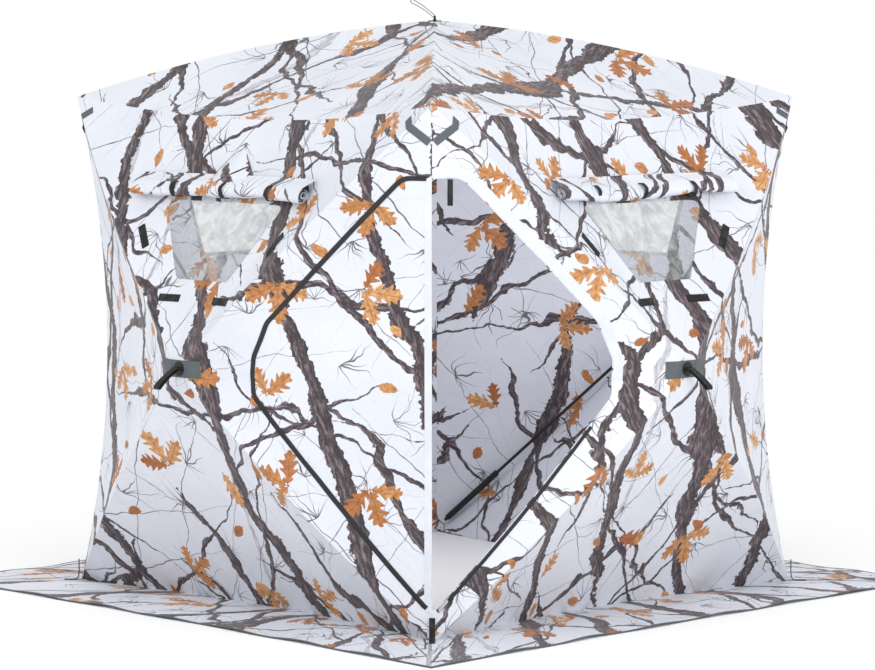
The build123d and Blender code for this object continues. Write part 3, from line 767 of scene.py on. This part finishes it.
# a cover rolled up on itself and sewn to the wall by its top edge
def makeRoll(faceName):
    face = faces[faceName]
    columns, rows = 96, 92
    piece, s, t = startGrid(f"{faceName}_rolled_cover", columns, rows)
    u = (2 * s - 1) * window["rollHalf"]
    tailShare = 0.16
    k = face["uvShift"][0]
    turnPart = np.clip((t - tailShare) / (1 - tailShare), 0, 1)
    angle = math.radians(60) - turnPart * window["rollTurns"] * 2 * math.pi
    radius = window["rollOuter"] + (window["rollInner"] - window["rollOuter"]) * turnPart
    slack = 1 + 0.1 * np.sin(19 * u + k) + 0.07 * np.sin(43 * u + 2 * k) + 0.05 * np.sin(3 * angle + 11 * u)
    for share in window["tieShares"]:
        slack = slack - 0.16 * np.exp(-((s - share) / 0.018) ** 2)
    radius = radius * slack
    sag = 0.006 * np.sin(7 * u + k) - 0.004 * np.cos(math.pi * u / window["rollHalf"])
    centreV = window["rollHeight"] + sag
    v = centreV + radius * np.sin(angle)
    out = window["rollOut"] + radius * np.cos(angle)
    # the tail runs from the roll up to its seam on the wall
    tail = np.clip(t / tailShare, 0, 1)
    seamV, seamOut = window["rollHeight"] + 0.052, 0.001
    ease = tail * tail * (3 - 2 * tail)
    onTail = t < tailShare
    v = np.where(onTail, seamV + (v - seamV) * tail, v)
    out = np.where(onTail, seamOut + (out - seamOut) * ease, out)
    base = np.stack([u, np.full_like(u, window["rollHeight"])], 1)
    places = layOn(face, base, 0, "top") + np.outer(v - window["rollHeight"], face["up"])
    lean = facetHeight(face, "top", u, np.clip(v, 0.2, 0.8)) - facetHeight(face, "top", u, base[:, 1])
    places = places + np.outer(out + lean * 0.5, face["normal"])
    uv = np.stack([u, t * 0.36], 1) + face["uvShift"] + 2.7
    setMesh(piece, places, uv)
    finishPiece(piece, 0.0012, snowPrint, offset=0.0)
    blendWith(piece)
    return piece


def makeTie(faceName, share):
    face = faces[faceName]
    number = window["tieShares"].index(share) + 1
    piece, s, t = startGrid(f"{faceName}_cover_tie_{number}", 40, 3)
    u = (2 * share - 1) * window["rollHalf"] + (t - 0.5) * 0.016
    angle = 2 * math.pi * s
    radius = window["rollOuter"] + 0.0015 + 0.0008 * np.sin(5 * angle)
    base = np.stack([u, np.full_like(u, window["rollHeight"])], 1)
    places = (layOn(face, base, window["rollOut"], "top") + np.outer(radius * np.sin(angle), face["up"])
              + np.outer(radius * np.cos(angle), face["normal"]))
    setMesh(piece, places, np.stack([s * 0.17, t * 0.016], 1))
    bpy.ops.object.mode_set(mode="EDIT")
    bpy.ops.mesh.select_all(action="SELECT")
    bpy.ops.mesh.remove_doubles(threshold=0.0001)
    bpy.ops.mesh.normals_make_consistent(inside=False)
    bpy.ops.object.mode_set(mode="OBJECT")
    finishPiece(piece, 0.0014, blackWebbing, offset=1.0)
    blendWith(piece)
    return piece


tabPlaces = [(-0.335, 0.425, -52), (0.335, 0.425, 52), (-0.13, 0.228, 0), (0.13, 0.228, 0)]
for faceName in walls:
    face = faces[faceName]
    film = layPatch(f"{faceName}_window_film", faceName, "top", grown(windowHole, window["filmOverlap"]),
                    0.016,
                    -window["filmDepth"], 0.0008, vinyl)
    roll = makeRoll(faceName)
    ties = [makeTie(faceName, share) for share in window["tieShares"]]
    tabs = [layPatch(f"{faceName}_hook_tab_{i + 1}", faceName, "top", rectangle(u, v, 0.09, 0.024, turn),
                     0.008,
                     0.0018, 0.0016, hookTape)
            for i, (u, v, turn) in enumerate(tabPlaces)]
    if faceName == "front_left":
        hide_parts("window_films")
        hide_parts("window_covers")
        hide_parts("cover_ties")
        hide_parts("fastening_tabs")
print("windows made")

# ---- hooded vent over the front left window ----

vent = {"face": "front_left", "apex": (-0.02, 0.732), "mouth": 0.628, "centre": -0.02, "half": 0.105,
        "out": 0.055}


# half a cone of cloth that stands open at the bottom
def makeHood():
    face = faces[vent["face"]]
    piece, s, t = startGrid("vent_hood_cloth", 36, 18)
    spreadOut = 1 - t
    u = vent["centre"] + (2 * s - 1) * vent["half"] * spreadOut
    v = vent["apex"][1] + (vent["mouth"] - vent["apex"][1]) * spreadOut - 0.012 * np.sin(math.pi * s) * spreadOut
    lift = 0.002 + vent["out"] * spreadOut ** 1.2 * np.sin(math.pi * s) ** 0.8
    flat = np.stack([u, v], 1)
    setMesh(piece, layOn(face, flat, lift, "top"), flat + face["uvShift"] + 0.9, face["normal"])
    finishPiece(piece, 0.002, snowPrint)
    blendWith(piece)
    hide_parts("vent_hood")


makeHood()
ventMesh = layPatch("vent_mesh_cloth", vent["face"], "top",
                    np.array([(-0.092, 0.622), (0.052, 0.622), (-0.02, 0.732)]),
                    0.01, -0.0042, 0.0008, meshCloth)
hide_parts("vent_mesh")

# ---- door ----

door = {
    "foldLine": 0.887,
    "panelGap": 0.0015,
    "zipHalf": 0.008,
    "facing": (0.003, 0.038),
    "openZip": 0.008,
    "leafTurn": 176.0,
    "leafSlope": math.atan2(0.3, 0.851),
}


def linePart(outline, test):
    ringed = np.concatenate([outline, outline[:1]])
    line, _ = spread(ringed, 0.006)
    keep = test(line)
    starts = np.flatnonzero(keep & ~np.roll(keep, 1))
    line, keep = np.roll(line, -int(starts[0]), 0), np.roll(keep, -int(starts[0]))
    return line[:int(np.argmin(keep))] if not keep.all() else line


panelOutline = grown(doorHole, -door["panelGap"])
panelOutline[:, 0] = np.minimum(panelOutline[:, 0], door["foldLine"])
closedHalf = layPatch("door_closed_half", "front_left", "right", panelOutline, 0.014, 0, tent["cloth"],
                      snowPrint)
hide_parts("door_panel")
layPatch("door_fold_band", "front_left", "right",
                    np.array([(0.876, -0.74), (0.8995, -0.76), (0.8995, 0.665),
                              (0.876, 0.648)]), 0.008, 0.0014,
                    0.0012, lining)
closedLine = linePart(doorHole, lambda line: line[:, 0] < 0.886)
closedZip = layTape("door_closed_zip", "front_left", "right", closedLine, door["zipHalf"], 0.0018, 0.0014,
                    zipTape,
                    crown=0.0012)
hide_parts("closed_zip")

openHole = doorHole * flipped
inner, outer = door["facing"]
facingLine = linePart(grown(openHole, (inner + outer) / 2), lambda line: (line[:, 0] > -0.878) & (line[:, 1] > -0.03))
facing = layTape("door_facing_band", "front_right", "left", facingLine, (outer - inner) / 2, 0.0014, 0.001,
                 lining)
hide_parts("door_facing")
lowLine = linePart(grown(openHole, door["openZip"]), lambda line: (line[:, 0] > -0.886) & (line[:, 1] < -0.17))
openZip = layTape("door_open_zip_low", "front_right", "left", lowLine, 0.006, 0.0018, 0.0014, zipTape,
                  crown=0.0008)
highLine = linePart(grown(openHole, door["openZip"]), lambda line: (line[:, 0] > -0.858) & (line[:, 1] > -0.15))
layTape("door_open_zip_high", "front_right", "left", highLine, 0.006, -0.0042, 0.001, zipTape)
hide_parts("open_zip")
gusset = layPatch("door_gusset_cloth", "front_right", "left",
                  np.array([(-0.255, -0.11), (-0.365, -0.16), (-0.33, -0.255),
                            (-0.235, -0.19)]), 0.012, -0.0085,
                  0.0015, greyWebbing)
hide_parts("door_gusset")


# the half that is unzipped hangs flat from the fold, a little slack in its middle
def makeLeaf():
    turn = math.radians(door["leafTurn"])
    origin = np.array([halfWidth - 0.014, -halfWidth + 0.014, tent["hubHeight"]])
    along = np.array([math.cos(turn), math.sin(turn), 0])
    out = np.array([math.sin(turn), -math.cos(turn), 0])
    corners = [((0.896 - u) / math.cos(door["leafSlope"]), v) for u, v in doorCorners[1:6]]
    leafCorners = [(-0.03, 0.655)] + corners[:-1] + [(corners[-1][0], -0.75), (-0.03, -0.75)]
    outline = roundOff(leafCorners, 0.06)
    outline[:, 0] = np.maximum(outline[:, 0], 0.003)

    def stand(flat, lift):
        hang = np.clip(flat[:, 0] / 0.65, 0, 1)
        slack = 0.0035 * np.sin(math.pi * hang) * np.sin(9 * flat[:, 1] + 5 * flat[:, 0])
        return (origin + np.outer(flat[:, 0], along) + np.outer(flat[:, 1], (0, 0, 1))
                + np.outer(slack + lift, out))

    edge = grown(outline, 0.009)
    edge[:, 0] = np.maximum(edge[:, 0], 0.003)
    low, high = edge.min(0), edge.max(0)
    piece, s, t = startGrid("door_open_half", 56, 120)
    flat = trimTo(piece, low + np.stack([s, t], 1) * (high - low), edge, keepInside=True, reach=0.015)
    setMesh(piece, stand(flat, 0.0015), flat * flipped + faces["front_right"]["uvShift"], out)
    finishPiece(piece, tent["cloth"], snowPrint)
    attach(piece, "door_leaf")
    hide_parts("door_leaf")
    line, run = spread(linePart(outline, lambda points: points[:, 0] > 0.006), 0.012)
    step = np.gradient(line, axis=0)
    side = np.stack([step[:, 1], -step[:, 0]], 1) / np.linalg.norm(step, axis=1)[:, None]
    tape, s, t = startGrid("door_open_half_zip", len(line) - 1, 4)
    at = np.rint(s * (len(line) - 1)).astype(int)
    flat = line[at] + side[at] * ((2 * t - 1) * 0.007)[:, None]
    flat[:, 0] = np.maximum(flat[:, 0], 0.003)
    crown = 0.0032 + 0.0008 * (1 - (2 * t - 1) ** 2)
    setMesh(tape, stand(flat, crown), np.stack([run[at], t * 0.014], 1), out)
    finishPiece(tape, 0.0012, zipTape)
    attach(tape, "door_leaf")
    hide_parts("leaf_zip")


makeLeaf()
print("door made")

# ---- patches and webbing ----


# a doubled strap along a path, flat across one direction; the path runs from end to end or closes
def makeStrap(name, path, across, width, thickness, material, body, closed=False, columns=48):
    path = np.array(path, float)
    line, along = spread(np.concatenate([path, path[:1]]) if closed else path,
                         0.001 + np.linalg.norm(np.diff(path, axis=0), axis=1).sum() / columns)
    piece, s, t = startGrid(name, len(line) - 1, 3)
    at = np.rint(s * (len(line) - 1)).astype(int)
    places = line[at] + np.outer((t - 0.5) * width, across)
    setMesh(piece, places, np.stack([along[at], t * width], 1))
    if closed:
        bpy.ops.object.mode_set(mode="EDIT")
        bpy.ops.mesh.select_all(action="SELECT")
        bpy.ops.mesh.remove_doubles(threshold=0.0001)
        bpy.ops.object.mode_set(mode="OBJECT")
    finishPiece(piece, thickness, material, offset=0.0)
    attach(piece, body)
    return piece


strap = {"width": 0.025, "thickness": 0.0022, "length": 0.1, "bar": 0.017}
for faceName, face in faces.items():
    # hub patch: the middle goes with the hub, the ends with the cloth
    if faceName != "roof":
        middle = layPatch(f"{faceName}_hub_patch_middle", faceName, "right", rectangle(0, 0, 0.09, 0.058),
                          0.015,
                          0.0018, 0.0012, greyWebbing, blended=False)
        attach(middle, f"{faceName}_hub")
        for side, sign in (("left", -1), ("right", 1)):
            layPatch(f"{faceName}_hub_patch_{side}", faceName, side,
                     rectangle(sign * 0.0685, 0, 0.047, 0.058),
                     0.012, 0.0018, 0.0012, greyWebbing)
        if faceName == "front_left":
            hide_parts("hub_patches")
        # webbing across each top corner
        for side, sign in (("left", -1), ("right", 1)):
            line, along = spread(np.array([(sign * 0.8, 0.846), (sign * 0.893, 0.77)]), 0.006)
            run = (line[-1] - line[0]) / np.linalg.norm(line[-1] - line[0])
            piece, s, t = startGrid(f"{faceName}_corner_webbing_{side}", len(line) - 1, 4)
            at = np.rint(s * (len(line) - 1)).astype(int)
            flat = line[at] + np.outer((t - 0.5) * strap["width"], (run[1], -run[0]))
            setMesh(piece, layOn(face, flat, 0.002), np.stack([along[at], t * strap["width"]], 1),
                    face["normal"])
            finishPiece(piece, 0.0014, greyWebbing)
            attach(piece, "shell")
            if (faceName, side) == ("front_left", "left"):
                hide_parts("corner_webbing")
    # pull loop: a strap doubled round the hub's bar, open a little at its far end
    up = np.array([1, 1, 0]) / math.sqrt(2) if faceName == "roof" else face["up"]
    lean = math.radians(-55 if faceName == "roof" else -35)
    run = face["normal"] * math.cos(lean) + up * math.sin(lean)
    out = -face["normal"] * math.sin(lean) + up * math.cos(lean)
    start = face["origin"] + face["normal"] * (face["rise"] + strap["bar"])
    loop = []
    for k in range(33):
        a = 2 * math.pi * k / 33
        x = 0.5 * strap["length"] * (1 - math.cos(a)) - 0.004 * math.cos(a)
        half = 0.0042 + 0.0026 * math.sin(a / 2) ** 4
        y = half * math.copysign(min(1.0, 2.4 * abs(math.sin(a))),
                                 math.sin(a)) + 0.004 * math.sin(math.pi * x / 0.1)
        loop.append(start + run * x + out * y)
    piece = makeStrap(f"{faceName}_pull_strap", loop, np.cross(run, out), strap["width"],
                      strap["thickness"],
                      blackWebbing, f"{faceName}_pull_loop", closed=True, columns=64)
    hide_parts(f"{faceName}_pull_loop")

roofPatch = layPatch("roof_hub_patch", "roof", "right", rectangle(0, 0, 0.088, 0.058), 0.015, 0.0018,
                     0.0012,
                     greyWebbing, blended=False)
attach(roofPatch, "roof_hub")

for k, name in enumerate(("front", "right", "back", "left")):
    turn = math.radians(-45 + 90 * k)
    out = np.array([math.cos(turn), math.sin(turn), 0])
    foot = out * (halfWidth * math.sqrt(2) + 0.0075) + np.array([0, 0, 0.0055])
    path = [foot + np.array([0, 0, 0.074]), foot + np.array([0, 0, 0.03]),
            foot + out * 0.002 + np.array([0, 0, 0.008]),
            foot + out * 0.012, foot + out * 0.053]
    piece = makeStrap(f"{name}_stake_strap", path, np.array([-out[1], out[0], 0]), 0.02, 0.002,
                      blackWebbing,
                      "shell", columns=30)
    if name == "front":
        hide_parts("stake_loops")

tieTop = np.array([0.934, -0.852, 1.503])
tieOut = np.array([1, -1, 0]) / math.sqrt(2)
tiePath = [tieTop + tieOut * (0.0012 + 0.0006 * math.sin(k)) - np.array([0, 0, 0.0107 * k]) for k in range(9)]
tie = makeStrap("door_tie_strap", tiePath, np.array([1, 1, 0]) / math.sqrt(2), 0.018, 0.0022, blackWebbing,
                "door_tie", columns=24)
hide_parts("door_tie")
print("webbing made")

# ---- skirt: a flap sewn round the foot of the walls, lying on the ground ----

skirt = {"half": 1.24, "perSide": 96, "rows": 14}


def makeSkirt():
    piece, s, t = startGrid("skirt_flap", 4 * skirt["perSide"], skirt["rows"])
    turn = np.minimum((s * 4).astype(int), 3)
    along = s * 4 - turn
    arch = 1 - (2 * along - 1) ** 2
    innerX, innerY = (2 * along - 1) * halfWidth, -(halfWidth - faces["back_left"]["bows"]["bottom"] * arch)
    edge = 1 - 0.016 * arch + 0.004 * np.sin(31 * along + turn) * arch
    outerX, outerY = (2 * along - 1) * skirt["half"], -skirt["half"] * edge
    x, y = innerX + (outerX - innerX) * t, innerY + (outerY - innerY) * t
    wave = 0.5 + 0.5 * np.sin(17 * along + 2.1 * turn) * np.sin(9 * along + 1.3 * turn + 2 * t)
    z = 0.0042 + 0.011 * wave * np.sin(math.pi * np.clip(t, 0, 1)) * np.clip(4 * arch, 0, 1)
    z = z + 0.006 * t ** 3 * np.sin(23 * along + turn) ** 2 * np.clip(4 * arch, 0, 1)
    angle = turn * math.pi / 2
    places = np.stack([x * np.cos(angle) - y * np.sin(angle), x * np.sin(angle) + y * np.cos(angle), z], 1)
    uv = np.stack([along * 2 * skirt["half"] + turn * 3.7, t * 0.36 + 6.1], 1)
    setMesh(piece, places, uv)
    bpy.ops.object.mode_set(mode="EDIT")
    bpy.ops.mesh.select_all(action="SELECT")
    bpy.ops.mesh.remove_doubles(threshold=0.0002)
    bpy.ops.object.mode_set(mode="OBJECT")
    if np.mean([p.normal[2] for p in piece.data.polygons]) < 0:
        piece.data.flip_normals()
    finishPiece(piece, 0.0028, snowPrint)
    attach(piece, "shell")
    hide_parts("skirt")
    # bound hem along the outer edge
    hem, s, t = startGrid("skirt_hem", 4 * skirt["perSide"], 8)
    turn = np.minimum((s * 4).astype(int), 3)
    along = s * 4 - turn
    arch = 1 - (2 * along - 1) ** 2
    edge = 1 - 0.016 * arch + 0.004 * np.sin(31 * along + turn) * arch
    around = 2 * math.pi * t
    x = (2 * along - 1) * (skirt["half"] - 0.001 + 0.004 * np.cos(around))
    y = -skirt["half"] * edge + 0.001 - 0.004 * np.cos(around)
    z = 0.0042 + 0.006 * np.sin(23 * along + turn) ** 2 * np.clip(4 * arch, 0,
                                                                  1) - 0.0012 + 0.0028 * np.sin(around)
    angle = turn * math.pi / 2
    places = np.stack([x * np.cos(angle) - y * np.sin(angle), x * np.sin(angle) + y * np.cos(angle), z], 1)
    setMesh(hem, places, np.stack([s * 10, t * 0.03], 1))
    bpy.ops.object.mode_set(mode="EDIT")
    bpy.ops.mesh.select_all(action="SELECT")
    bpy.ops.mesh.remove_doubles(threshold=0.0002)
    bpy.ops.mesh.normals_make_consistent(inside=False)
    bpy.ops.object.mode_set(mode="OBJECT")
    hem.data.materials.append(greyWebbing)
    bpy.ops.object.shade_smooth()
    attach(hem, "shell")


makeSkirt()
print("skirt made")

# ---- finishes of the hard parts ----

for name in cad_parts:
    node = bpy.data.objects.get(name)
    if node is None or node.hide_render:
        continue
    finish = hubNylon
    if "_rod_" in name:
        finish = rodGlass
    elif name.endswith("hub_fasteners") or name == "zip_slider":
        finish = platedSteel if name == "zip_slider" else hubNylon
    for index in range(len(node.material_slots)):
        node.material_slots[index].material = finish
    if not node.material_slots:
        node.data.materials.append(finish)

# ---- floor, light and camera ----

bpy.ops.object.select_all(action="DESELECT")
bpy.ops.mesh.primitive_plane_add(size=60, location=(0, 0, 0))
floor = bpy.context.object
floor.name = "floor"
floorPaint, floorTree, floorSurface = startMaterial("whiteStudioFloor")
floorSurface.inputs["Base Color"].default_value = toLinear("#FFFFFF")
floorSurface.inputs["Roughness"].default_value = 0.9
floor.data.materials.append(floorPaint)

world = bpy.context.scene.world or bpy.data.worlds.new("studio")
bpy.context.scene.world = world
world.use_nodes = True
world.node_tree.nodes["Background"].inputs["Color"].default_value = (1, 1, 1, 1)
world.node_tree.nodes["Background"].inputs["Strength"].default_value = 1.0


def addLamp(name, place, size, power, target=(0, 0, 1.0)):
    data = bpy.data.lights.new(name, "AREA")
    data.shape, data.size, data.energy = "DISK", size, power
    lamp = bpy.data.objects.new(name, data)
    bpy.context.collection.objects.link(lamp)
    lamp.location = place
    lamp.rotation_euler = (Vector(target) - Vector(place)).to_track_quat("-Z", "Y").to_euler()


addLamp("keyLamp", (1.5, -6.5, 5.0), 3.0, 70)
addLamp("sideLamp", (7.0, -2.5, 2.8), 3.0, 130)
# daylight that comes through the thin cloth
glow = bpy.data.lights.new("insideGlow", "POINT")
glow.energy, glow.shadow_soft_size = 22, 0.4
glowLamp = bpy.data.objects.new("insideGlow", glow)
bpy.context.collection.objects.link(glowLamp)
glowLamp.location = (0, 0, 1.25)
bpy.context.scene.view_settings.view_transform = "Standard"

cameraData = bpy.data.cameras.new("camera")
camera = bpy.data.objects.new("camera", cameraData)
bpy.context.collection.objects.link(camera)
camera.location = (9.186, -9.0645, 2.0238)
camera.rotation_euler = (math.pi / 2 - 0.0877, 0, 0.7913)
cameraData.lens, cameraData.sensor_width = 149.0, 36.0
bpy.context.scene.camera = camera
